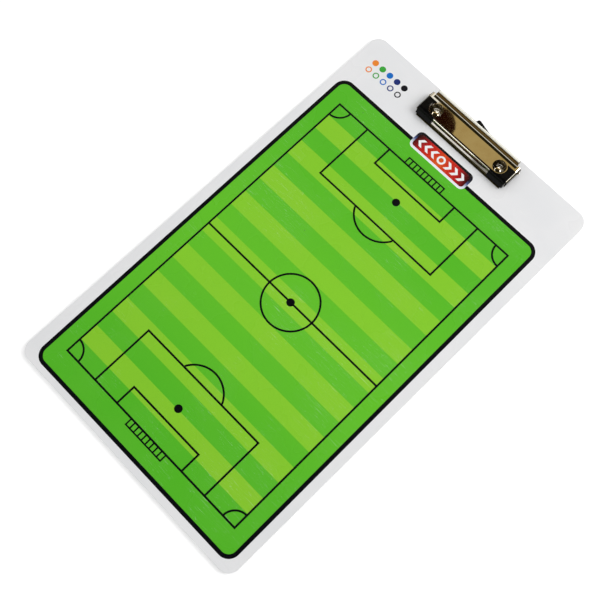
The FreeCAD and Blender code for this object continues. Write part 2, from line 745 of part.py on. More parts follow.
def spring_path():
    """A leg over the base, the coil round the pin and a leg under the thumb lip, in the clip's frame."""
    radius = number(f"{COIL_DIAMETER} / 2")
    rise = number("coil_pitch") / (2 * math.pi)
    axis_height = number(HINGE_HEIGHT)
    inset = number(SPRING_INSET)

    def coil_point(turn):
        return Vector(inset + rise * turn, -radius * math.sin(turn), axis_height - radius * math.cos(turn))

    def coil_way(turn):
        return Vector(rise, -radius * math.cos(turn), radius * math.sin(turn)).normalize()

    quarters = 4 * round(number("coil_turns")) + 2
    turns = [index * math.pi / 2 for index in range(quarters + 1)]
    first_way, last_way = coil_way(turns[0]), coil_way(turns[-1])
    edges = [Part.LineSegment(coil_point(0) - first_way * number("spring_foot"), coil_point(0))]
    for turn, following in zip(turns, turns[1:]):
        edges += biarc(coil_point(turn), coil_way(turn), coil_point(following), coil_way(following))

    slope = math.radians(number("lip_angle"))
    seat = number("wire_diameter / 2 + spring_seat")
    top = coil_point(turns[-1])
    lip_fall = top.z - (number(LEVER_HEIGHT) - seat * math.cos(slope))
    corner_y = number("lip_start") + seat * math.sin(slope) + lip_fall / math.tan(slope)
    corner = top + last_way * (corner_y / last_way.y)
    arm_way = Vector(last_way.x, math.cos(slope), math.sin(slope)).normalize()
    reach = number("spring_bend") * math.tan(last_way.getAngle(arm_way) / 2)
    bend_start, bend_end = corner - last_way * reach, corner + arm_way * reach
    edges.append(Part.LineSegment(top, bend_start))
    edges.append(arc_by_tangents(bend_start, corner, bend_end))
    edges.append(Part.LineSegment(bend_end, bend_end + arm_way * number("spring_arm")))
    return Part.Wire([edge.toShape() for edge in edges])


def least_gap(path, wire, spacing=0.2):
    """The least clear distance between stretches of the wire that are over three wires apart along it."""
    points = path.discretize(Distance=spacing)
    apart = math.ceil(3 * wire / spacing)
    return min(
        (one.distanceToPoint(other) for index, one in enumerate(points) for other in points[index + apart :])
    ) - wire


def spring(label, side):
    path = spring_path()
    wire = number("wire_diameter")
    start = path.OrderedEdges[0]
    section = Part.Circle(start.valueAt(start.FirstParameter), start.tangentAt(0), wire / 2)
    tube = path.makePipeShell([Part.Wire(section.toShape())], True, False)
    if side < 0:
        tube = tube.mirror(Vector(0, 0, 0), Vector(1, 0, 0))
    share = tube.Volume / (math.pi * wire * wire / 4 * path.Length)
    print(f"{label}: least gap {least_gap(path, wire):.2f} mm, volume {share:.4f} of section times length")
    part = doc.addObject("Part::Feature", label)
    part.Label = label
    part.Shape = tube
    for axis, text in zip("xyz", ("clip_shift", HINGE_Y, FACE)):
        bind(part, f"Placement.Base.{axis}", text)
    return part


parts = [back_film(), core_panel(), steel_sheet(), front_film(), clip_base(), clip_lever(), hinge_pin()]
for name, sign in SIDES.items():
    parts += [
        spring(f"spring_{name}", sign),
        grip(f"grip_{name}", sign),
        rivet(f"rivet_{name}", sign),
        washer(f"washer_{name}", sign),
    ]
parts += [hang_tab(), hang_rivet()]
doc.recompute()

for thing in doc.Objects:
    if {"Invalid", "Error"} & set(thing.State):
        raise RuntimeError(f"{thing.Label} failed: {thing.State}")
for part in parts:
    shape = part.Shape
    if shape.isNull() or not shape.isValid() or len(shape.Solids) != 1:
        raise RuntimeError(f"{part.Label} is not one valid solid")

os.makedirs("parts", exist_ok=True)
for part in parts:
    part.Shape.exportStep(f"parts/{part.Label}.step")
    box = part.Shape.BoundBox
    print(
        f"{part.Label:13} {part.Shape.Volume:10.2f} mm3  x {box.XMin:8.2f} {box.XMax:8.2f}"
        f"  y {box.YMin:8.2f} {box.YMax:8.2f}  z {box.ZMin:6.2f} {box.ZMax:6.2f}"
    )
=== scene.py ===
import math

import bmesh
import bpy
from mathutils import Matrix, Vector


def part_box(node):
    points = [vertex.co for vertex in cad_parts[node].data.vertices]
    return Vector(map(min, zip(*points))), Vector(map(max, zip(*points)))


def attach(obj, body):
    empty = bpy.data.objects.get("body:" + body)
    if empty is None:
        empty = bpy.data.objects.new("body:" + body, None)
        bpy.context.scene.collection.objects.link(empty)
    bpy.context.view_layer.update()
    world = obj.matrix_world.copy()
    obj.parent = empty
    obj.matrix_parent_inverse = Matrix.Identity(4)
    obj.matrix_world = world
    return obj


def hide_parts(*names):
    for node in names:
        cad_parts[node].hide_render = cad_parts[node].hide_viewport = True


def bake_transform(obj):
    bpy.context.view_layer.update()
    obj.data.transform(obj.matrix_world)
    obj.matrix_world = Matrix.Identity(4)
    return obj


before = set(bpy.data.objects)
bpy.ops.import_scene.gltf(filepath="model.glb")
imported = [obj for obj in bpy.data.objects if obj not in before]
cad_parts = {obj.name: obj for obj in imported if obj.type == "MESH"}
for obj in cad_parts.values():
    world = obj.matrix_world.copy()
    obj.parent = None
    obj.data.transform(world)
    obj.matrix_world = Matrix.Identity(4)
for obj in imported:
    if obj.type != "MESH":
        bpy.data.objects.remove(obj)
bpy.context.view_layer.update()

# A football tactics board lying on a pale floor. Sizes are in millimetres unless a comment says otherwise.
MM = 0.001
FILM_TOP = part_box("front_film")[1].z / MM

# The print is laid out on axes of its own, from its middle: u across the board and v towards the clip.
PRINT_MIDDLE = (0.25, -18.55)
PRINT_TURN = math.radians(0.516)
BORDER_HALF = (95.6, 149.75)
BORDER_CORNER = 7.8
BORDER_LINE = 2.95
PITCH_HALF = (82.95, 132.35)
PITCH_LINE = 1.42
STRIPE_WIDTH = 14.15
STRIPE_BLUR = 0.03
GRASS_BLUR = 0.2
GRASS_FADE = (130.0, 10.0)
CIRCLE_RADIUS = 20.8
CENTRE_SPOT_RADIUS = 3.0
PENALTY_HALF_WIDTH = 54.3
PENALTY_DEPTH = 49.0
PENALTY_ARC_REACH = 11.95
PENALTY_SPOT_DISTANCE = 26.8
PENALTY_SPOT_RADIUS = 2.95
GOAL_AREA_HALF_WIDTH = 32.0
GOAL_AREA_DEPTH = 15.55
CORNER_ARC_RADIUS = 11.1
GOAL_HALF_WIDTH = 17.1
GOAL_DEPTH = 5.4
GOAL_CELLS = 9
GOAL_LINE = 1.1

# The plate over the border's head, and the key of counter colours beside the clip.
PLATE_MIDDLE = (0.4, 152.4)
PLATE_HALF = (26.5, 7.5)
PLATE_CORNER = 4.2
PLATE_RIM = 1.9
CHEVRON_COUNT = 3
CHEVRON_STEP = 6.2
CHEVRON_START = 7.0
CHEVRON_HALF_HEIGHT = 3.3
CHEVRON_DEPTH = 3.0
CHEVRON_THICKNESS = 2.6
RING_RADIUS = 2.6
RING_LINE = 1.5
KEY_START = (-88.0, 175.5)
KEY_STEP = (7.4, -7.4)
KEY_DISC_RADIUS = 2.5
KEY_RING_LINE = 0.9

# Ink stands at most a tenth of a millimetre above the film, one layer on another.
INK_SINK = 0.01
INK_RISE = 0.025
RIM_RISE = 0.05
PANEL_RISE = 0.075
MARK_RISE = 0.1
ARC_STEP = math.radians(4)

# Where the lever's plate has painted dark reflections, and how dark, and where the thumb lip's edge has a
# painted highlight. Heights on the nose are above the film, those on the thumb lip above the lever's flat.
# The right end begins at an x, and the bends and skirts lie in from both ends.
LEVER_FLAT = 6.8
LIP_FOOT = (0.2, 0.5)
LIP_PALE = (1.0, 1.9)
LIP_DARK = (2.0, 2.5)
LIP_EDGE = (2.95, 3.1)
LIP_PAINTED_DARK = 0.77
LIP_PALER = 0.22
LIP_DARKER = 0.2
UPPER_BAND_FOOT = (3.8, 4.2)
UPPER_BAND_HEAD = (5.8, 5.5)
UPPER_BAND_PAINTED_DARK = 0.92
LOWER_BAND_HEAD = (2.4, 2.0)
RIGHT_END_START = (12.0, 17.0)
RIGHT_END_HEAD = (6.6, 6.2)
RIGHT_END_PAINTED_DARK = 0.7
END_BENDS = (-1.4, -1.2)
END_BEND_FADE = 1.0
END_BEND_PAINTED_DARK = 0.75
SKIRTS = (-0.95, -0.75)

# The springs' wire, wound round the hinge pin.
WIRE_RADIUS = 0.5
WIRE_SIDES = 14
WIRE_SHARP = math.radians(50)
COIL_RADIUS = 1.8
COIL_PITCH = 1.5
COIL_TURNS = 4.5
COIL_STEPS = 28
SPRING_INSET = 14.0
SPRING_FOOT = 4.2
SPRING_ARM = 2.6
SPRING_BEND = 1.2
SPRING_BEND_STEPS = 8
SPRING_SEAT = 0.3

# The lever's underside as the springs' upper legs meet it, from the hinge.
LEVER_OVER_HINGE = 2.6
LIP_START = 1.1
LIP_SLOPE = math.radians(50)

# The camera: where it stands, which way it looks, and its focal length in pixels of a 600 pixel frame.
CAMERA_PLACE = (136.04, -137.05, 631.26)
CAMERA_AZIMUTH = math.radians(-46.804)
CAMERA_ELEVATION = math.radians(73.866)
CAMERA_ROLL = math.radians(-0.954)
FOCAL_PIXELS = 943.2
FRAME_PIXELS = 600
SENSOR_WIDTH = 36.0

# The Mix node's colour sockets by number, since the node repeats their names for each kind of value.
MIX_FIRST = 6
MIX_SECOND = 7
MIX_RESULT = 2


def colour(red, green, blue):
    """A colour given as 0 to 255 on a screen, as the linear colour that a socket takes."""
    shares = [value / 255 for value in (red, green, blue)]
    return [s / 12.92 if s <= 0.04045 else ((s + 0.055) / 1.055) ** 2.4 for s in shares] + [1.0]


FILM_WHITE = colour(233, 233, 234)
FILM_SHADE = colour(226, 227, 229)
GRASS_DARK = colour(82, 184, 34)
GRASS_LIGHT = colour(134, 202, 42)
INK_BLACK = colour(7, 8, 10)
INK_NAVY = colour(14, 15, 24)


class Signal:
    """A socket of a node tree. Arithmetic on it adds Math nodes to the tree."""

    def __init__(self, shading, socket):
        self.shading = shading
        self.socket = socket

    def math(self, operation, *operands):
        return self.shading.node("ShaderNodeMath", {"operation": operation}, dict(enumerate(operands)))

    def __add__(self, other):
        return self.math("ADD", self, other)

    def __sub__(self, other):
        return self.math("SUBTRACT", self, other)

    def __rsub__(self, other):
        return self.math("SUBTRACT", other, self)

    def __mul__(self, other):
        return self.math("MULTIPLY", self, other)

    def __rmul__(self, other):
        return self.math("MULTIPLY", other, self)

    def __truediv__(self, other):
        return self.math("DIVIDE", self, other)

    def __pow__(self, other):
        return self.math("POWER", self, other)

    def __abs__(self):
        return self.math("ABSOLUTE", self)

    def __lt__(self, other):
        return self.math("LESS_THAN", self, other)

    def most(self, other):
        return self.math("MAXIMUM", self, other)

    def cosine(self):
        return self.math("COSINE", self)

    def hypot(self, other):
        return (self * self + other * other) ** 0.5

    def ramp(self, low, high, start=0.0, end=1.0):
        """A smooth rise from start at low to end at high, and level beyond them."""
        return self.shading.node(
            "ShaderNodeMapRange",
            {"interpolation_type": "SMOOTHSTEP"},
            {"Value": self, "From Min": low, "From Max": high, "To Min": start, "To Max": end},
        )


class Shading:
    """A node tree being filled. One method adds any node, and the others name the common ones."""

    def __init__(self, tree):
        self.tree = tree
        tree.nodes.clear()

    def node(self, kind, settings=None, inputs=None, output=0):
        made = self.tree.nodes.new(kind)
        for name, value in (settings or {}).items():
            if name == "stops":
                self.set_stops(made.color_ramp, value)
            else:
                setattr(made, name, value)
        for key, value in (inputs or {}).items():
            if isinstance(value, Signal):
                self.tree.links.new(value.socket, made.inputs[key])
            else:
                made.inputs[key].default_value = value
        return Signal(self, made.outputs[output]) if made.outputs else None

    def set_stops(self, ramp, stops):
        while len(ramp.elements) < len(stops):
            ramp.elements.new(1.0)
        for element, (place, tint) in zip(ramp.elements, stops):
            element.position = place
            element.color = tint

    def outputs(self, signal):
        return [Signal(self, socket) for socket in signal.socket.node.outputs]

    def millimetres(self):
        """The point being shaded, in the board's own frame."""
        place = self.node("ShaderNodeTexCoord", output="Object")
        return self.node("ShaderNodeVectorMath", {"operation": "SCALE"}, {0: place, "Scale": 1 / MM})

    def split(self, vector):
        return self.outputs(self.node("ShaderNodeSeparateXYZ", inputs={0: vector}))

    def stretched(self, vector, scale, turn=0.0):
        """The point turned about z and scaled along each axis."""
        settings = {"vector_type": "POINT"}
        inputs = {"Vector": vector, "Rotation": (0.0, 0.0, turn), "Scale": scale}
        return self.node("ShaderNodeMapping", settings, inputs)

    def noise(self, vector, scale, detail=2.0, roughness=0.5):
        inputs = {"Vector": vector, "Scale": scale, "Detail": detail, "Roughness": roughness}
        return self.node("ShaderNodeTexNoise", inputs=inputs)

    def cells(self, vector, scale, feature="F1"):
        inputs = {"Vector": vector, "Scale": scale}
        return self.node("ShaderNodeTexVoronoi", {"feature": feature}, inputs)

    def mix(self, factor, first, second):
        """A colour between two others."""
        inputs = {0: factor, MIX_FIRST: first, MIX_SECOND: second}
        return self.node("ShaderNodeMix", {"data_type": "RGBA"}, inputs, output=MIX_RESULT)

    def stops(self, factor, stops):
        return self.node("ShaderNodeValToRGB", {"stops": stops}, {"Fac": factor})

    def bump(self, height, distance, strength):
        """A normal from heights between 0 and 1, where distance is the full height in millimetres."""
        inputs = {"Strength": strength, "Distance": distance * MM, "Height": height}
        return self.node("ShaderNodeBump", inputs=inputs)

    def edges(self, radius):
        """1 along the piece's edges, falling to 0 within that radius."""
        rounded = self.node("ShaderNodeBevel", {"samples": 6}, {"Radius": radius * MM})
        plain = self.node("ShaderNodeNewGeometry", output="Normal")
        dot = {"operation": "DOT_PRODUCT"}
        facing = self.node("ShaderNodeVectorMath", dot, {0: rounded, 1: plain}, output="Value")
        return (1 - facing).ramp(0.01, 0.12)

    def scratches(self, vector, turn, length, spacing, width):
        """Fine broken lines along one direction."""
        drawn = self.noise(self.stretched(vector, (1 / length, 1 / spacing, 1 / length), turn), 1.0, 1.0)
        patches = self.noise(vector, 0.6 / length, 1.0)
        return abs(drawn - 0.5).ramp(width, 0.0) * patches.ramp(0.52, 0.6)

    def surface(self, inputs):
        """Ends the tree in a Principled surface with these socket values and links."""
        shader = self.node("ShaderNodeBsdfPrincipled", inputs=inputs)
        self.node("ShaderNodeOutputMaterial", inputs={"Surface": shader})

    def glow(self, tint):
        """Ends the tree in a glow of that colour."""
        shader = self.node("ShaderNodeEmission", inputs={"Color": tint})
        self.node("ShaderNodeOutputMaterial", inputs={"Surface": shader})


def new_finish(name):
    material = bpy.data.materials.new(name)
    material.use_nodes = True
    return material, Shading(material.node_tree)


def print_axes(shading, spot):
    """u and v of the point being shaded."""
    x, y, _ = shading.split(spot)
    east = x - PRINT_MIDDLE[0]
    north = y - PRINT_MIDDLE[1]
    u = east * math.cos(PRINT_TURN) + north * math.sin(PRINT_TURN)
    v = north * math.cos(PRINT_TURN) - east * math.sin(PRINT_TURN)
    return u, v


def printed_film():
    """The glossy front film: white, with the green and its mown stripes printed under the gloss."""
    material, s = new_finish("printed_film")
    spot = s.millimetres()
    u, v = print_axes(s, spot)
    across, along = abs(u), abs(v)
    past_side = (across - (BORDER_HALF[0] - BORDER_CORNER)).most(0.0)
    past_end = (along - (BORDER_HALF[1] - BORDER_CORNER)).most(0.0)
    field = past_side.hypot(past_end).ramp(BORDER_CORNER + GRASS_BLUR, BORDER_CORNER - GRASS_BLUR)
    mown = (v * (math.pi / STRIPE_WIDTH)).cosine().ramp(-STRIPE_BLUR, STRIPE_BLUR)
    mown = mown * (across < PITCH_HALF[0]) * (along < PITCH_HALF[1])

    cloud = s.noise(spot, 0.02, 3.0)
    grain = s.noise(spot, 2.2, 2.0)
    inward = along.ramp(*GRASS_FADE)
    dark = s.mix(inward, GRASS_DARK, colour(99, 195, 38))
    light = s.mix(inward, GRASS_LIGHT, colour(134, 206, 44))
    dark = s.mix(cloud.ramp(0.3, 0.7, 0.0, 0.3), dark, colour(94, 188, 40))
    light = s.mix(cloud.ramp(0.35, 0.75, 0.0, 0.3), light, colour(144, 201, 40))
    green = s.mix(mown, dark, light)
    green = s.mix(grain.ramp(0.45, 0.75, 0.0, 0.12), green, colour(60, 160, 40))
    white = s.mix(cloud.ramp(0.3, 0.75), FILM_WHITE, FILM_SHADE)
    printed = s.mix(field, white, green)

    scuffs = s.scratches(spot, turn=0.7, length=26.0, spacing=1.1, width=0.006)
    scuffs = scuffs + s.scratches(spot, turn=-0.9, length=34.0, spacing=1.6, width=0.005)
    specks = s.cells(spot, 0.045).ramp(0.03, 0.018)
    worn = s.mix(scuffs * 0.18, printed, colour(244, 246, 240))
    worn = s.mix(specks * 0.35, worn, colour(70, 74, 70))
    waves = s.noise(spot, 0.06, 1.0) + 0.02 * s.noise(spot, 1.6, 2.0)
    s.surface(
        {
            "Base Color": worn,
            "Roughness": cloud.ramp(0.2, 0.8, 0.24, 0.32) + scuffs * 0.2,
            "Specular IOR Level": 0.3,
            "Normal": s.bump(waves, 0.12, 0.5),
        }
    )
    return material


def ink(name, tint, second):
    """Printing ink under the same gloss as the film, a little uneven."""
    material, s = new_finish(name)
    spot = s.millimetres()
    uneven = s.noise(spot, 0.9, 3.0)
    s.surface(
        {
            "Base Color": s.mix(uneven.ramp(0.35, 0.75), tint, second),
            "Roughness": uneven.ramp(0.2, 0.8, 0.26, 0.36),
            "Specular IOR Level": 0.12,
        }
    )
    return material


def plate_rim_ink():
    """The plate's rim, shaded from silver at its foot to black at its head."""
    material, s = new_finish("plate_rim_ink")
    spot = s.millimetres()
    _, v = print_axes(s, spot)
    rise = (v - (PLATE_MIDDLE[1] - PLATE_HALF[1])) / (2 * PLATE_HALF[1])
    shade = s.stops(
        rise + 0.06 * s.noise(spot, 0.35, 2.0),
        [
            (0.0, colour(244, 245, 248)),
            (0.3, colour(205, 210, 224)),
            (0.5, colour(74, 88, 140)),
            (0.68, colour(26, 30, 52)),
            (1.0, colour(12, 12, 16)),
        ],
    )
    s.surface(
        {
            "Base Color": shade,
            "Roughness": s.noise(spot, 0.8).ramp(0.2, 0.8, 0.22, 0.3),
            "Specular IOR Level": 0.35,
        }
    )
    return material


def plate_panel_ink():
    """The plate's panel, from dark red at its ends to orange red in the middle."""
    material, s = new_finish("plate_panel_ink")
    spot = s.millimetres()
    u, v = print_axes(s, spot)
    outward = abs(u - PLATE_MIDDLE[0]) / PLATE_HALF[0]
    low = (v - PLATE_MIDDLE[1]).ramp(PLATE_HALF[1], -PLATE_HALF[1], 0.08, -0.08)
    red = s.stops(
        outward + low + 0.05 * s.noise(spot, 0.25, 2.0),
        [
            (0.0, colour(216, 84, 22)),
            (0.25, colour(204, 48, 20)),
            (0.6, colour(184, 20, 22)),
            (0.82, colour(108, 10, 18)),
            (0.96, colour(44, 5, 10)),
        ],
    )
    s.surface(
        {
            "Base Color": red,
            "Roughness": s.noise(spot, 0.8).ramp(0.2, 0.8, 0.22, 0.3),
            "Specular IOR Level": 0.3,
        }
    )
    return material


def back_film():
    """The plain white film of the back, lightly pebbled and scuffed."""
    material, s = new_finish("back_film_pebbled")
    spot = s.millimetres()
    cloud = s.noise(spot, 0.018, 3.0)
    pebbles = s.cells(spot, 1.4, "SMOOTH_F1")
    scuffs = s.scratches(spot, turn=0.4, length=40.0, spacing=1.4, width=0.006)
    scuffs = scuffs + s.scratches(spot, turn=-0.6, length=30.0, spacing=1.8, width=0.005)
    white = s.mix(cloud.ramp(0.3, 0.7), colour(230, 230, 231), colour(221, 222, 224))
    s.surface(
        {
            "Base Color": s.mix(scuffs * 0.35, white, colour(188, 189, 192)),
            "Roughness": cloud.ramp(0.2, 0.8, 0.38, 0.48) + scuffs * 0.15,
            "Specular IOR Level": 0.3,
            "Normal": s.bump(pebbles, 0.04, 0.6),
        }
    )
    return material


def panel_board():
    """The rigid panel, seen at its edges: white, with the fine lines of extrusion."""
    material, s = new_finish("panel_board")
    spot = s.millimetres()
    lines = s.noise(s.stretched(spot, (0.03, 0.03, 5.0)), 1.0, 3.0)
    dust = s.noise(spot, 0.3, 3.0)
    tint = s.mix(lines.ramp(0.35, 0.7), colour(234, 234, 233), colour(206, 207, 207))
    s.surface(
        {
            "Base Color": s.mix(dust.ramp(0.6, 0.8, 0.0, 0.35), tint, colour(186, 184, 178)),
            "Roughness": lines.ramp(0.2, 0.8, 0.42, 0.6),
            "Normal": s.bump(lines, 0.05, 0.6),
        }
    )
    return material


def lever_painted_reflections(shading, spot):
    """How far the lever's plate has painted dark reflections, and how far its edge has a painted highlight.

    The painted dark reflections lie on the thumb lip's face, in two bands of the nose, at the nose's right
    end, on the skirts and on the bends at both ends as far back as the grips. The painted highlight is on
    the thumb lip's edge.
    """
    x, y, z = shading.split(spot)
    height = z - FILM_TOP
    rise = height - LEVER_FLAT
    face = LIP_PAINTED_DARK - rise.ramp(*LIP_PALE, 0.0, LIP_PALER) + rise.ramp(*LIP_DARK, 0.0, LIP_DARKER)
    lip = rise.ramp(*LIP_FOOT) * face
    upper_band = height.ramp(*UPPER_BAND_FOOT) * height.ramp(*UPPER_BAND_HEAD)
    lower_band = height.ramp(*LOWER_BAND_HEAD)
    right_end = x.ramp(*RIGHT_END_START) * height.ramp(*RIGHT_END_HEAD)
    nose = (UPPER_BAND_PAINTED_DARK * upper_band).most(lower_band).most(RIGHT_END_PAINTED_DARK * right_end)
    left, right = (corner.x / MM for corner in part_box("clip_lever"))
    grip_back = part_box("grip_right")[1].y / MM
    outward = (x - right).most(left - x)
    end_bends = outward.ramp(*END_BENDS) * y.ramp(grip_back + END_BEND_FADE, grip_back)
    skirts = outward.ramp(*SKIRTS).most(END_BEND_PAINTED_DARK * end_bends)
    return lip.most(nose).most(skirts), rise.ramp(*LIP_EDGE)


def bright_nickel(name, tint, second, roughness, wave, painted_reflections=None):
    """Nickel plate on pressed steel: mirror bright, with slow waves, fine marks and a thin tarnish."""
    material, s = new_finish(name)
    spot = s.millimetres()
    tarnish = s.noise(spot, 0.12, 3.0, 0.6)
    marks = s.scratches(spot, turn=0.15, length=9.0, spacing=0.35, width=0.012)
    marks = marks + s.scratches(spot, turn=1.2, length=7.0, spacing=0.45, width=0.01)
    drawn = s.noise(s.stretched(spot, (0.05, 3.0, 3.0)), 1.0, 2.0)
    base = s.mix(tarnish.ramp(0.35, 0.75), tint, second)
    base = s.mix(marks * 0.4, base, colour(250, 248, 242))
    painted_dark_reflection, painted_highlight = painted_reflections(s, spot) if painted_reflections else (0.0, 0.0)
    # Painted dark reflection: the plate turns towards this dark bronze wherever the lever's painted
    # reflections lie.
    base = s.mix(painted_dark_reflection, base, colour(62, 57, 34))
    smooth = tarnish.ramp(0.3, 0.8, roughness, roughness + 0.02)
    s.surface(
        {
            # Painted highlight: the thumb lip's edge turns pale, matt and non-metal, a white line standing
            # in for a bright reflection.
            "Base Color": s.mix(painted_highlight, base, colour(250, 248, 236)),
            "Metallic": 1.0 - painted_highlight,
            "Roughness": smooth + marks * 0.04 + drawn * 0.01 + painted_highlight * 0.3,
            "Normal": s.bump(s.noise(spot, 0.11, 1.0) + 0.012 * drawn, wave, 0.5),
        }
    )
    return material


def turned_metal(name, tint, second, middle, roughness):
    """Plated metal with fine rings about an upright middle, as on a set rivet or a punched washer."""
    material, s = new_finish(name)
    spot = s.millimetres()
    x, y, _ = s.split(spot)
    outward = (x - middle[0]).hypot(y - middle[1])
    rings = (outward * 9.0 + 1.5 * s.noise(spot, 0.6)).cosine()
    tarnish = s.noise(spot, 0.5, 3.0)
    s.surface(
        {
            "Base Color": s.mix(tarnish.ramp(0.35, 0.75), tint, second),
            "Metallic": 1.0,
            "Roughness": tarnish.ramp(0.2, 0.8, roughness, roughness + 0.06) + rings * 0.01,
            "Normal": s.bump(rings * 0.5 + 0.5, 0.004, 0.5),
        }
    )
    return material


def spring_steel():
    """Hard drawn wire, blue-grey, with a fine grain and patches of oil."""
    material, s = new_finish("spring_steel")
    spot = s.millimetres()
    drawn = s.noise(spot, 2.4, 3.0)
    oil = s.noise(spot, 0.5, 2.0)
    s.surface(
        {
            "Base Color": s.mix(oil.ramp(0.3, 0.7), colour(126, 128, 134), colour(92, 92, 98)),
            "Metallic": 1.0,
            "Roughness": drawn.ramp(0.2, 0.8, 0.22, 0.4),
            "Normal": s.bump(drawn, 0.01, 0.5),
        }
    )
    return material


def plated_steel(name, tint, second, roughness):
    """Zinc or galvanised sheet with its spangle."""
    material, s = new_finish(name)
    spot = s.millimetres()
    spangle = s.outputs(s.cells(spot, 0.28))[1]
    lot = s.split(spangle)[0]
    haze = s.noise(spot, 0.4, 3.0)
    s.surface(
        {
            "Base Color": s.mix(lot * 0.6 + haze * 0.4, tint, second),
            "Metallic": 1.0,
            "Roughness": haze.ramp(0.2, 0.8, roughness, roughness + 0.14),
            "Normal": s.bump(s.noise(spot, 1.2, 3.0), 0.01, 0.5),
        }
    )
    return material


def moulded_black():
    """The grips' black plastic: a fine eroded grain, rubbed smoother and paler on the edges."""
    material, s = new_finish("moulded_black")
    spot = s.millimetres()
    grain = s.noise(spot, 4.5, 3.0, 0.65)
    cloud = s.noise(spot, 0.25, 2.0)
    rubbed = s.edges(0.35) * s.noise(spot, 0.8, 2.0).ramp(0.35, 0.7)
    black = s.mix(cloud.ramp(0.3, 0.7), colour(6, 6, 7), colour(10, 10, 10))
    s.surface(
        {
            "Base Color": s.mix(rubbed * 0.5, black, colour(46, 45, 44)),
            "Roughness": cloud.ramp(0.2, 0.8, 0.22, 0.32) - rubbed * 0.08,
            "Specular IOR Level": 0.1,
            "Normal": s.bump(grain, 0.012, 0.5),
        }
    )
    return material


def painted_black():
    """The hanging tab's black paint on steel, rubbed thin along its edges."""
    material, s = new_finish("painted_black")
    spot = s.millimetres()
    peel = s.noise(spot, 1.3, 2.0)
    worn = (s.edges(0.15) * s.noise(spot, 1.1, 3.0).ramp(0.5, 0.62)).ramp(0.2, 0.5)
    black = s.mix(peel.ramp(0.3, 0.7), colour(6, 6, 7), colour(11, 11, 11))
    s.surface(
        {
            "Base Color": s.mix(worn * 0.5, black, colour(96, 95, 92)),
            "Roughness": peel.ramp(0.2, 0.8, 0.4, 0.5),
            "Specular IOR Level": 0.12,
            "Normal": s.bump(peel, 0.02, 0.5),
        }
    )
    return material


def give(node, material):
    """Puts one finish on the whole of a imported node."""
    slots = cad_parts[node].data.materials
    slots.clear()
    slots.append(material)


def middle_of(node):
    low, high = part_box(node)
    return (low + high) / 2 / MM


def dress_packed_nodes():
    nickel = (colour(243, 239, 230), colour(236, 229, 214))
    zinc = (colour(188, 188, 184), colour(158, 158, 156))
    dull_zinc = (colour(122, 112, 88), colour(92, 84, 64))
    galvanised = (colour(176, 178, 180), colour(148, 150, 154))
    give("front_film", printed_film())
    give("back_film", back_film())
    give("core_panel", panel_board())
    give("steel_sheet", plated_steel("galvanised_sheet", *galvanised, roughness=0.3))
    # The lever's finish carries painted dark reflections and a painted highlight along the thumb lip's edge.
    give("clip_lever", bright_nickel("lever_nickel", *nickel, roughness=0.02, wave=0.02, painted_reflections=lever_painted_reflections))
    give("clip_base", plated_steel("base_zinc", *dull_zinc, roughness=0.2))
    give("hinge_pin", bright_nickel("pin_nickel", *nickel, roughness=0.16, wave=0.02))
    give("hang_tab", painted_black())
    give("hang_rivet", turned_metal("tab_rivet_nickel", *nickel, middle_of("hang_rivet"), roughness=0.14))
    black = moulded_black()
    for side in ("left", "right"):
        give(f"grip_{side}", black)
        rivet = f"rivet_{side}"
        give(rivet, turned_metal(f"{rivet}_nickel", *nickel, middle_of(rivet), roughness=0.04))
        washer = f"washer_{side}"
        give(washer, turned_metal(f"{washer}_zinc", *zinc, middle_of(washer), roughness=0.24))


def on_print(u, v, height):
    """A point of the print in the board's frame, in metres, at that height above the film."""
    x = PRINT_MIDDLE[0] + u * math.cos(PRINT_TURN) - v * math.sin(PRINT_TURN)
    y = PRINT_MIDDLE[1] + u * math.sin(PRINT_TURN) + v * math.cos(PRINT_TURN)
    return Vector((x, y, FILM_TOP + height)) * MM


def arc(middle, radius, start, end):
    """Points along an arc of the print, ends included."""
    count = max(2, math.ceil(abs(end - start) / ARC_STEP))
    angles = [start + (end - start) * index / count for index in range(count + 1)]
    return [Vector((middle[0] + radius * math.cos(a), middle[1] + radius * math.sin(a))) for a in angles]


def rounded_outline(middle, half, radius):
    """A rectangle with round corners, anticlockwise from its right side."""
    points = []
    for quarter, (right, up) in enumerate([(1, 1), (-1, 1), (-1, -1), (1, -1)]):
        corner = (middle[0] + right * (half[0] - radius), middle[1] + up * (half[1] - radius))
        points += arc(corner, radius, quarter * math.pi / 2, (quarter + 1) * math.pi / 2)
    return points


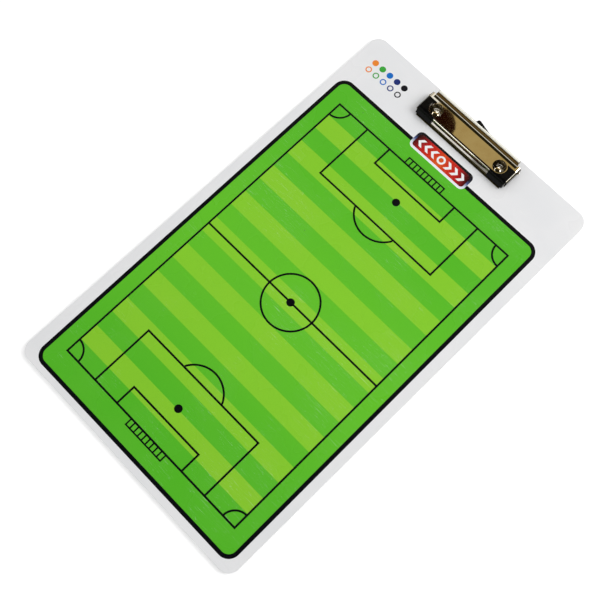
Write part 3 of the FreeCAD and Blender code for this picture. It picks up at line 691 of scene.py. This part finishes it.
class InkLayer:
    """Flat closed shapes of ink, gathered into one piece between two heights above the film."""

    def __init__(self, low=-INK_SINK, high=INK_RISE):
        self.mesh = bmesh.new()
        self.low = low
        self.high = high

    def column(self, point):
        """The upper and lower vertex at a point of the print."""
        u, v = point
        return [self.mesh.verts.new(on_print(u, v, height)) for height in (self.high, self.low)]

    def fill(self, outline):
        """A filled shape, its outline anticlockwise."""
        columns = [self.column(point) for point in outline]
        self.mesh.faces.new([top for top, _ in columns])
        self.mesh.faces.new([foot for _, foot in reversed(columns)])
        for (top, foot), (next_top, next_foot) in zip(columns, columns[1:] + columns[:1]):
            self.mesh.faces.new([top, foot, next_foot, next_top])

    def disc(self, middle, radius):
        self.fill(arc(middle, radius, 0, 2 * math.pi)[:-1])

    def line(self, points, width, closed=False):
        """A line of that width along the points, mitred at its corners."""
        points = [Vector(point) for point in points]
        last = len(points) - 1
        sections = []
        for index, point in enumerate(points):
            ahead = points[(index + 1) % len(points)] - point
            behind = point - points[index - 1]
            if not closed and index == 0:
                behind = ahead
            if not closed and index == last:
                ahead = behind
            across = (ahead.normalized() + behind.normalized()).orthogonal().normalized()
            reach = across * (width / 2 / across.dot(ahead.normalized().orthogonal()))
            sections.append(self.column(point + reach) + self.column(point - reach)[::-1])
        pairs = list(zip(sections, sections[1:]))
        if closed:
            pairs.append((sections[-1], sections[0]))
        else:
            self.mesh.faces.new(sections[0])
            self.mesh.faces.new(sections[-1][::-1])
        for section, following in pairs:
            for side in range(4):
                beside = (side + 1) % 4
                self.mesh.faces.new([section[side], following[side], following[beside], section[beside]])

    def ring(self, middle, radius, width):
        self.line(arc(middle, radius, 0, 2 * math.pi)[:-1], width, closed=True)

    def print(self, name, material):
        """Makes the piece, which rides on the board."""
        bmesh.ops.recalc_face_normals(self.mesh, faces=self.mesh.faces)
        piece = new_piece(name, self.mesh, material)
        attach(piece, "board")


def new_piece(name, mesh, material):
    data = bpy.data.meshes.new(name)
    mesh.to_mesh(data)
    mesh.free()
    data.materials.append(material)
    piece = bpy.data.objects.new(name, data)
    bpy.context.scene.collection.objects.link(piece)
    return piece


def print_border(black):
    layer = InkLayer()
    layer.line(rounded_outline((0, 0), BORDER_HALF, BORDER_CORNER), BORDER_LINE, closed=True)
    layer.print("border_line", black)


def print_touch_lines(black):
    layer = InkLayer()
    half_width, half_length = PITCH_HALF
    corners = [(half_width, half_length), (-half_width, half_length)]
    corners += [(-half_width, -half_length), (half_width, -half_length)]
    layer.line(corners, PITCH_LINE, closed=True)
    layer.print("touch_lines", black)


def print_centre(black):
    half_line = PITCH_LINE / 2
    circle = InkLayer()
    circle.ring((0, 0), CIRCLE_RADIUS, PITCH_LINE)
    circle.print("centre_circle", black)
    halfway = InkLayer()
    for side in (-1, 1):
        outside = (PITCH_HALF[0] - half_line, CIRCLE_RADIUS + half_line)
        inside = (CIRCLE_RADIUS - half_line, CENTRE_SPOT_RADIUS)
        for start, end in (outside, inside):
            halfway.line([(side * start, 0), (side * end, 0)], PITCH_LINE)
    halfway.print("halfway_line", black)
    spot = InkLayer()
    spot.disc((0, 0), CENTRE_SPOT_RADIUS)
    spot.print("centre_spot", black)


def print_area(name, half_width, depth, end, black):
    """Three sides of a rectangle on the goal line at one end of the pitch."""
    goal_line = end * (PITCH_HALF[1] - PITCH_LINE / 2)
    front = end * (PITCH_HALF[1] - depth)
    layer = InkLayer()
    corners = [(half_width, goal_line), (half_width, front)]
    corners += [(-half_width, front), (-half_width, goal_line)]
    layer.line(corners, PITCH_LINE)
    layer.print(name, black)


def print_penalty_arc(name, end, black):
    """The part of a circle of the centre circle's size that stands out of the penalty area."""
    area_line = PITCH_HALF[1] - PENALTY_DEPTH
    middle = (0, end * (area_line - PENALTY_ARC_REACH + CIRCLE_RADIUS))
    inside = CIRCLE_RADIUS - PENALTY_ARC_REACH + PITCH_LINE / 2
    half_angle = math.acos(inside / CIRCLE_RADIUS)
    towards = -end * math.pi / 2
    layer = InkLayer()
    layer.line(arc(middle, CIRCLE_RADIUS, towards - half_angle, towards + half_angle), PITCH_LINE)
    layer.print(name, black)


def print_goal(name, end, black):
    """A goal's net drawn as a row of cells behind the goal line."""
    start = end * (PITCH_HALF[1] + PITCH_LINE / 2)
    back = end * (PITCH_HALF[1] + GOAL_DEPTH)
    layer = InkLayer()
    post = GOAL_HALF_WIDTH
    layer.line([(post, start), (post, back), (-post, back), (-post, start)], GOAL_LINE)
    for cell in range(1, GOAL_CELLS):
        across = post * (2 * cell / GOAL_CELLS - 1)
        layer.line([(across, start), (across, back - end * GOAL_LINE / 2)], GOAL_LINE)
    layer.print(name, black)


def print_pitch_ends(black):
    corners = InkLayer()
    spots = InkLayer()
    skip = math.asin(PITCH_LINE / 2 / CORNER_ARC_RADIUS)
    for name, end in (("head", 1), ("foot", -1)):
        print_area(f"penalty_area_{name}", PENALTY_HALF_WIDTH, PENALTY_DEPTH, end, black)
        print_area(f"goal_area_{name}", GOAL_AREA_HALF_WIDTH, GOAL_AREA_DEPTH, end, black)
        print_penalty_arc(f"penalty_arc_{name}", end, black)
        print_goal(f"goal_{name}", end, black)
        spots.disc((0, end * (PITCH_HALF[1] - PENALTY_SPOT_DISTANCE)), PENALTY_SPOT_RADIUS)
    for quarter, (right, up) in enumerate([(-1, -1), (1, -1), (1, 1), (-1, 1)]):
        middle = (right * PITCH_HALF[0], up * PITCH_HALF[1])
        start = quarter * math.pi / 2
        corners.line(arc(middle, CORNER_ARC_RADIUS, start + skip, start + math.pi / 2 - skip), PITCH_LINE)
    corners.print("corner_arcs", black)
    spots.print("penalty_spots", black)


def chevron(tip, pointing):
    """An arrowhead's outline, anticlockwise: its tip, and the way that it points along u."""
    u, v = tip
    outer = u - pointing * CHEVRON_DEPTH
    rise = CHEVRON_HALF_HEIGHT
    back = pointing * CHEVRON_THICKNESS
    points = [(u, v), (outer, v + rise), (outer - back, v + rise), (u - back, v)]
    points += [(outer - back, v - rise), (outer, v - rise)]
    return points[::pointing]


def print_plate():
    """The red plate on the border's head, with plain arrowheads on both sides of a ring."""
    rim = InkLayer(INK_RISE - INK_SINK, RIM_RISE)
    halfway = [side - PLATE_RIM / 2 for side in PLATE_HALF]
    outline = rounded_outline(PLATE_MIDDLE, halfway, PLATE_CORNER - PLATE_RIM / 2)
    rim.line(outline, PLATE_RIM, closed=True)
    rim.print("plate_rim", plate_rim_ink())
    panel = InkLayer(-INK_SINK, PANEL_RISE)
    inside = [side - PLATE_RIM for side in PLATE_HALF]
    panel.fill(rounded_outline(PLATE_MIDDLE, inside, PLATE_CORNER - PLATE_RIM))
    panel.print("plate_panel", plate_panel_ink())
    marks = InkLayer(PANEL_RISE - INK_SINK, MARK_RISE)
    marks.ring(PLATE_MIDDLE, RING_RADIUS, RING_LINE)
    for pointing in (-1, 1):
        for index in range(CHEVRON_COUNT):
            reach = CHEVRON_START + CHEVRON_DEPTH + index * CHEVRON_STEP
            marks.fill(chevron((PLATE_MIDDLE[0] + pointing * reach, PLATE_MIDDLE[1]), pointing))
    marks.print("plate_marks", ink("ink_white", colour(240, 240, 240), colour(228, 228, 230)))


def print_key():
    """A key of counter colours: a row of discs over a row of rings."""
    tints = {
        "orange": ((236, 138, 48), (226, 124, 40)),
        "green": ((64, 168, 62), (52, 154, 54)),
        "blue": ((24, 112, 198), (20, 98, 184)),
        "navy": ((34, 50, 118), (28, 42, 104)),
        "black": ((18, 18, 24), (28, 28, 38)),
    }
    for column, (name, (tint, second)) in enumerate(tints.items()):
        material = ink(f"ink_{name}", colour(*tint), colour(*second))
        u = KEY_START[0] + column * KEY_STEP[0]
        layer = InkLayer()
        layer.disc((u, KEY_START[1]), KEY_DISC_RADIUS)
        layer.ring((u, KEY_START[1] + KEY_STEP[1]), KEY_DISC_RADIUS - KEY_RING_LINE / 2, KEY_RING_LINE)
        layer.print(f"key_{name}", material)


def print_board():
    black = ink("ink_black", INK_BLACK, INK_NAVY)
    print_border(black)
    print_touch_lines(black)
    print_centre(black)
    print_pitch_ends(black)
    print_plate()
    print_key()


def spring_line(hinge, side):
    """The wire's middle line: a leg over the base, the coil and a leg up behind the thumb lip."""
    rise = COIL_PITCH / (2 * math.pi)

    def coil_point(turn):
        along = SPRING_INSET + rise * turn
        return Vector((along, -COIL_RADIUS * math.sin(turn), -COIL_RADIUS * math.cos(turn)))

    def coil_way(turn):
        return Vector((rise, -COIL_RADIUS * math.cos(turn), COIL_RADIUS * math.sin(turn))).normalized()

    steps = round(COIL_TURNS * COIL_STEPS)
    turns = [2 * math.pi * COIL_TURNS * index / steps for index in range(steps + 1)]
    points = [coil_point(0) - coil_way(0) * SPRING_FOOT] + [coil_point(turn) for turn in turns]
    last_way = coil_way(turns[-1])
    seat = SPRING_SEAT + WIRE_RADIUS
    lip_fall = COIL_RADIUS - (LEVER_OVER_HINGE - seat * math.cos(LIP_SLOPE))
    ahead = LIP_START + seat * math.sin(LIP_SLOPE) + lip_fall / math.tan(LIP_SLOPE)
    corner = points[-1] + last_way * (ahead / last_way.y)
    arm_way = Vector((last_way.x, math.cos(LIP_SLOPE), math.sin(LIP_SLOPE))).normalized()
    reach = SPRING_BEND * math.tan(last_way.angle(arm_way) / 2)
    bend_start, bend_end = corner - last_way * reach, corner + arm_way * reach
    for index in range(SPRING_BEND_STEPS + 1):
        share = index / SPRING_BEND_STEPS
        points.append(bend_start.lerp(corner, share).lerp(corner.lerp(bend_end, share), share))
    points.append(bend_end + arm_way * SPRING_ARM)
    return [(hinge + Vector((side * point.x, point.y, point.z))) * MM for point in points]


def wire(points, radius):
    """A closed round wire along the points."""
    mesh = bmesh.new()
    rings = []
    upright = None
    for index, point in enumerate(points):
        way = (points[min(index + 1, len(points) - 1)] - points[max(index - 1, 0)]).normalized()
        upright = way.orthogonal() if upright is None else upright - way * upright.dot(way)
        upright.normalize()
        beside = way.cross(upright)
        angles = [2 * math.pi * side / WIRE_SIDES for side in range(WIRE_SIDES)]
        spokes = [upright * math.cos(angle) + beside * math.sin(angle) for angle in angles]
        rings.append([mesh.verts.new(point + spoke * radius) for spoke in spokes])
    for ring, following in zip(rings, rings[1:]):
        for side in range(WIRE_SIDES):
            beside = (side + 1) % WIRE_SIDES
            mesh.faces.new([ring[side], ring[beside], following[beside], following[side]])
    mesh.faces.new(rings[0][::-1])
    mesh.faces.new(rings[-1])
    return mesh


def wind_springs():
    """The two torsion springs, each wound evenly round its coil from the base's leg to the lever's."""
    steel = spring_steel()
    hinge = middle_of("hinge_pin")
    for name, side in (("left", -1), ("right", 1)):
        mesh = wire(spring_line(hinge, side), WIRE_RADIUS * MM)
        spring = new_piece(f"wound_spring_{name}", mesh, steel)
        spring.data.shade_smooth()
        spring.data.set_sharp_from_angle(angle=WIRE_SHARP)
        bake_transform(spring)
        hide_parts(f"spring_{name}")


# The studio, in metres: a floor, lamps, and a room that only gloss and metal show.
FLOOR_HALF = 3.0
FLOOR_DROP = 0.00005
FLOOR_GLOW = 0.35
FLOOR_FADE = (0.5, 1.6)
WORLD_FILL = 0.52
ROOM_RADIUS = 2.4
ROOM_SILL = 0.1
ROOM_HEIGHT = 2.2
ROOM_SIDES = 48
HOOD_MIDDLE = (0.0, -0.2, 1.05)
HOOD_HALF = (1.0, 0.78)
CARD_MIDDLE = (-0.33, 0.7, 1.2)
CARD_HALF = (0.046, 0.04)
SIDE_CARD_MIDDLE = (-1.4, 0.85, 0.5)
SIDE_CARD_HALF = (0.9, 0.9)
GLINT_MIDDLE = (-0.374, 0.745, 1.2)
GLINT_HALF = (0.022, 0.016)

# The lamps: place, aim, the side of the square and its power in watts.
LAMPS = {
    "key_lamp": ((0.8, 0.75, 1.1), (0.0, 0.0, 0.0), 0.8, 11.7),
    "back_lamp": ((-0.35, 1.2, 1.0), (0.0, 0.0, 0.0), 0.6, 2.5),
    "front_lamp": ((-0.25, -1.05, 0.78), (0.0, 0.0, 0.0), 0.4, 1.2),
    "side_lamp": ((-1.0, -0.2, 0.8), (-0.1, 0.0, 0.0), 0.5, 1.0),
}


def lay_floor():
    """A pale paper floor that fades to white away from the board."""
    mesh = bmesh.new()
    corners = [(-1, -1), (1, -1), (1, 1), (-1, 1)]
    mesh.faces.new([mesh.verts.new((FLOOR_HALF * x, FLOOR_HALF * y, -FLOOR_DROP)) for x, y in corners])
    material, s = new_finish("floor_paper")
    spot = s.millimetres()
    fibre = s.noise(spot, 0.05, 4.0)
    seen = seen_rays(s)
    paper = s.node(
        "ShaderNodeBsdfPrincipled",
        inputs={
            "Base Color": s.mix(fibre, colour(232, 232, 232), colour(228, 228, 229)),
            "Roughness": fibre.ramp(0.2, 0.8, 0.7, 0.8),
            "Specular IOR Level": 0.1,
        },
    )
    x, y, _ = s.split(spot)
    outward = x.hypot(y) * MM
    level = outward.ramp(*FLOOR_FADE, FLOOR_GLOW, 1.0)
    glow = s.node("ShaderNodeEmission", inputs={"Strength": seen * level})
    both = s.node("ShaderNodeAddShader", inputs={0: paper, 1: glow})
    s.node("ShaderNodeOutputMaterial", inputs={"Surface": both})
    new_piece("floor", mesh, material)


def seen_rays(shading):
    """1 for rays that show a background: from the camera, off gloss or through glass."""
    path = shading.node("ShaderNodeLightPath", output="Is Camera Ray").socket.node.outputs
    camera, glossy, through = (
        Signal(shading, path[name]) for name in ("Is Camera Ray", "Is Glossy Ray", "Is Transmission Ray")
    )
    return camera.most(glossy).most(through)


def light_world():
    """White all round where a background shows, and a dimmer white light on everything else."""
    world = bpy.data.worlds.new("studio")
    world.use_nodes = True
    bpy.context.scene.world = world
    s = Shading(world.node_tree)
    white = (1.0, 1.0, 1.0, 1.0)
    backdrop = s.node("ShaderNodeBackground", inputs={"Color": white, "Strength": 1.0})
    fill = s.node("ShaderNodeBackground", inputs={"Color": white, "Strength": WORLD_FILL})
    lit = s.node("ShaderNodeMixShader", inputs={0: seen_rays(s), 1: fill, 2: backdrop})
    s.node("ShaderNodeOutputWorld", inputs={"Surface": lit})


def glow_finish(name, tint, second):
    """A blotchy glow between two tones, for what stands round the board."""
    material, s = new_finish(name)
    blotches = s.noise(s.millimetres(), 0.0015, 2.0)
    s.glow(s.mix(blotches.ramp(0.3, 0.7), tint, second))
    return material


def wall_finish():
    """The walls' glow: dark at the foot, brown at the height of a shelf and olive above it."""
    material, s = new_finish("room_walls")
    spot = s.millimetres()
    height = s.split(spot)[2] * MM + 0.1 * s.noise(spot, 0.001, 2.0)
    tones = s.stops(
        height / ROOM_HEIGHT,
        [
            (0.0, colour(20, 19, 12)),
            (0.2, colour(24, 22, 13)),
            (0.3, colour(136, 110, 62)),
            (0.42, colour(118, 96, 54)),
            (0.55, colour(48, 43, 22)),
        ],
    )
    s.glow(tones)
    return material


def stand_reflection(name, mesh, material):
    """A stage piece that shows in gloss alone, and neither lights nor shades the floor."""
    piece = new_piece(name, mesh, material)
    piece.visible_camera = False
    piece.visible_diffuse = False
    piece.visible_transmission = False
    piece.visible_shadow = False


def round_outline(middle, half):
    """The corners of a level ellipse."""
    x, y, height = middle
    angles = [2 * math.pi * side / ROOM_SIDES for side in range(ROOM_SIDES)]
    return [(x + half[0] * math.cos(a), y + half[1] * math.sin(a), height) for a in angles]


def build_room():
    """Walls, a tan ceiling, the dark hood over the camera, a small dark card and two white ones."""
    dark = glow_finish("hood_dark", colour(34, 30, 17), colour(46, 41, 23))
    half = (ROOM_RADIUS, ROOM_RADIUS)
    walls = bmesh.new()
    sill, head = (
        [walls.verts.new(point) for point in round_outline((0, 0, height), half)]
        for height in (ROOM_SILL, ROOM_HEIGHT)
    )
    for side in range(ROOM_SIDES):
        walls.faces.new([sill[side - 1], sill[side], head[side], head[side - 1]])
    stand_reflection("room_walls", walls, wall_finish())
    tan = glow_finish("room_ceiling", colour(166, 143, 90), colour(176, 154, 100))
    maroon = glow_finish("card_maroon", colour(24, 5, 2), colour(32, 9, 4))
    white = glow_finish("card_white", colour(248, 246, 238), colour(240, 238, 230))
    for name, middle, reach, material in (
        ("room_ceiling", (0, 0, ROOM_HEIGHT), half, tan),
        ("camera_hood", HOOD_MIDDLE, HOOD_HALF, dark),
        ("dark_card", CARD_MIDDLE, CARD_HALF, maroon),
        ("white_card", SIDE_CARD_MIDDLE, SIDE_CARD_HALF, white),
        ("glint_card", GLINT_MIDDLE, GLINT_HALF, white),
    ):
        mesh = bmesh.new()
        mesh.faces.new([mesh.verts.new(point) for point in round_outline(middle, reach)])
        stand_reflection(name, mesh, material)


def hang_lamp(name, place, aim, size, power):
    """A square soft lamp, places in metres and power in watts."""
    lamp = bpy.data.lights.new(name, "AREA")
    lamp.size = size
    lamp.energy = power
    hung = bpy.data.objects.new(name, lamp)
    hung.location = place
    hung.rotation_euler = (Vector(aim) - Vector(place)).to_track_quat("-Z", "Y").to_euler()
    bpy.context.scene.collection.objects.link(hung)


def place_camera():
    level = math.cos(CAMERA_ELEVATION)
    ahead = (level * math.sin(CAMERA_AZIMUTH), level * math.cos(CAMERA_AZIMUTH))
    look = Vector((*ahead, -math.sin(CAMERA_ELEVATION)))
    right = look.cross(Vector((0, 0, 1))).normalized()
    upward = right.cross(look)
    tilted_right = right * math.cos(CAMERA_ROLL) + upward * math.sin(CAMERA_ROLL)
    tilted_up = upward * math.cos(CAMERA_ROLL) - right * math.sin(CAMERA_ROLL)
    lens = bpy.data.cameras.new("camera")
    lens.sensor_width = SENSOR_WIDTH
    lens.lens = FOCAL_PIXELS / FRAME_PIXELS * SENSOR_WIDTH
    camera = bpy.data.objects.new("camera", lens)
    turn = Matrix((tilted_right, tilted_up, -look)).transposed().to_4x4()
    camera.matrix_world = Matrix.Translation(Vector(CAMERA_PLACE) * MM) @ turn
    bpy.context.scene.collection.objects.link(camera)
    bpy.context.scene.camera = camera


dress_packed_nodes()
print_board()
wind_springs()
lay_floor()
light_world()
build_room()
for lamp_name, lamp_values in LAMPS.items():
    hang_lamp(lamp_name, *lamp_values)
place_camera()
bpy.context.scene.view_settings.view_transform = "Standard"
